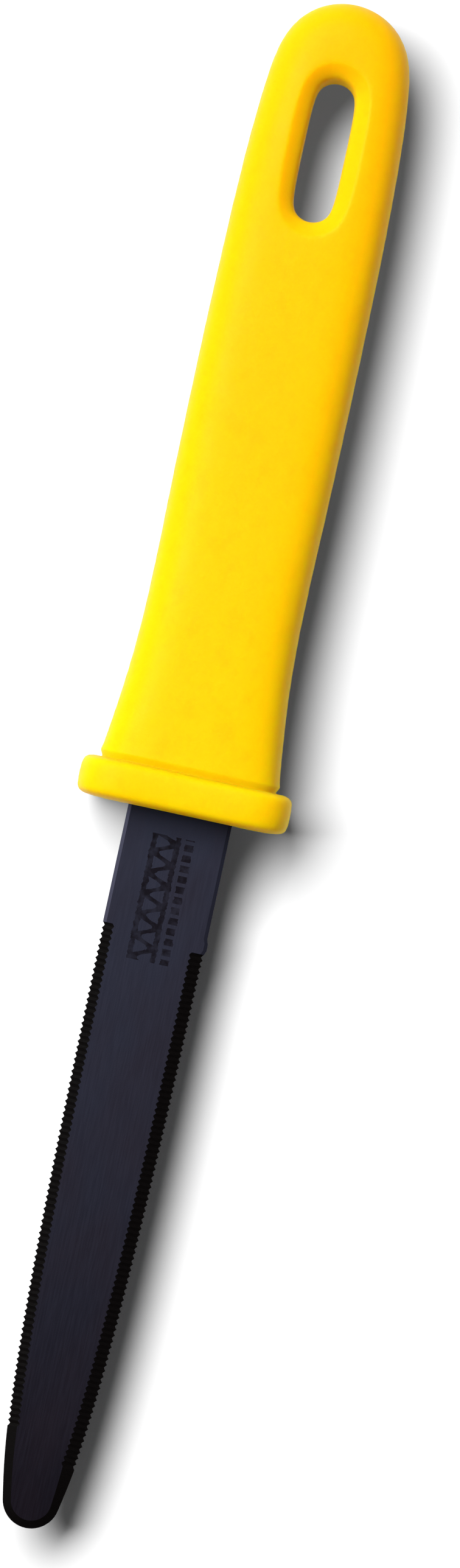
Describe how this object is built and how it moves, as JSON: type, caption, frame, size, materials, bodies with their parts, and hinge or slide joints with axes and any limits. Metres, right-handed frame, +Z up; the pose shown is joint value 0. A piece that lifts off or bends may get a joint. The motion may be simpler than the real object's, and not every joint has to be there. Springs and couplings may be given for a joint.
{
  "type": "cardboard knife",
  "caption": "Fixed-blade cardboard knife: straight double-edged, finely toothed coated blade with a round tip, in a moulded plastic handle with a finger guard and a hang slot.",
  "frame": {"origin": "on the surface the guard rests on, under the middle of the knife's length and width", "axes": "+Y from the tip towards the butt end, +X across the knife, +Z up out of its upper face"},
  "size_m": [0.0262, 0.19, 0.016],
  "materials": {
    "handle_plastic": "satin moulded polypropylene, bright yellow",
    "coated_steel": "stainless steel with a thin blue-black non-stick coating, ground and toothed edges darker"
  },
  "bodies": {
    "root": {"handle": "handle_plastic", "blade": "coated_steel"}
  },
  "joints": []
}
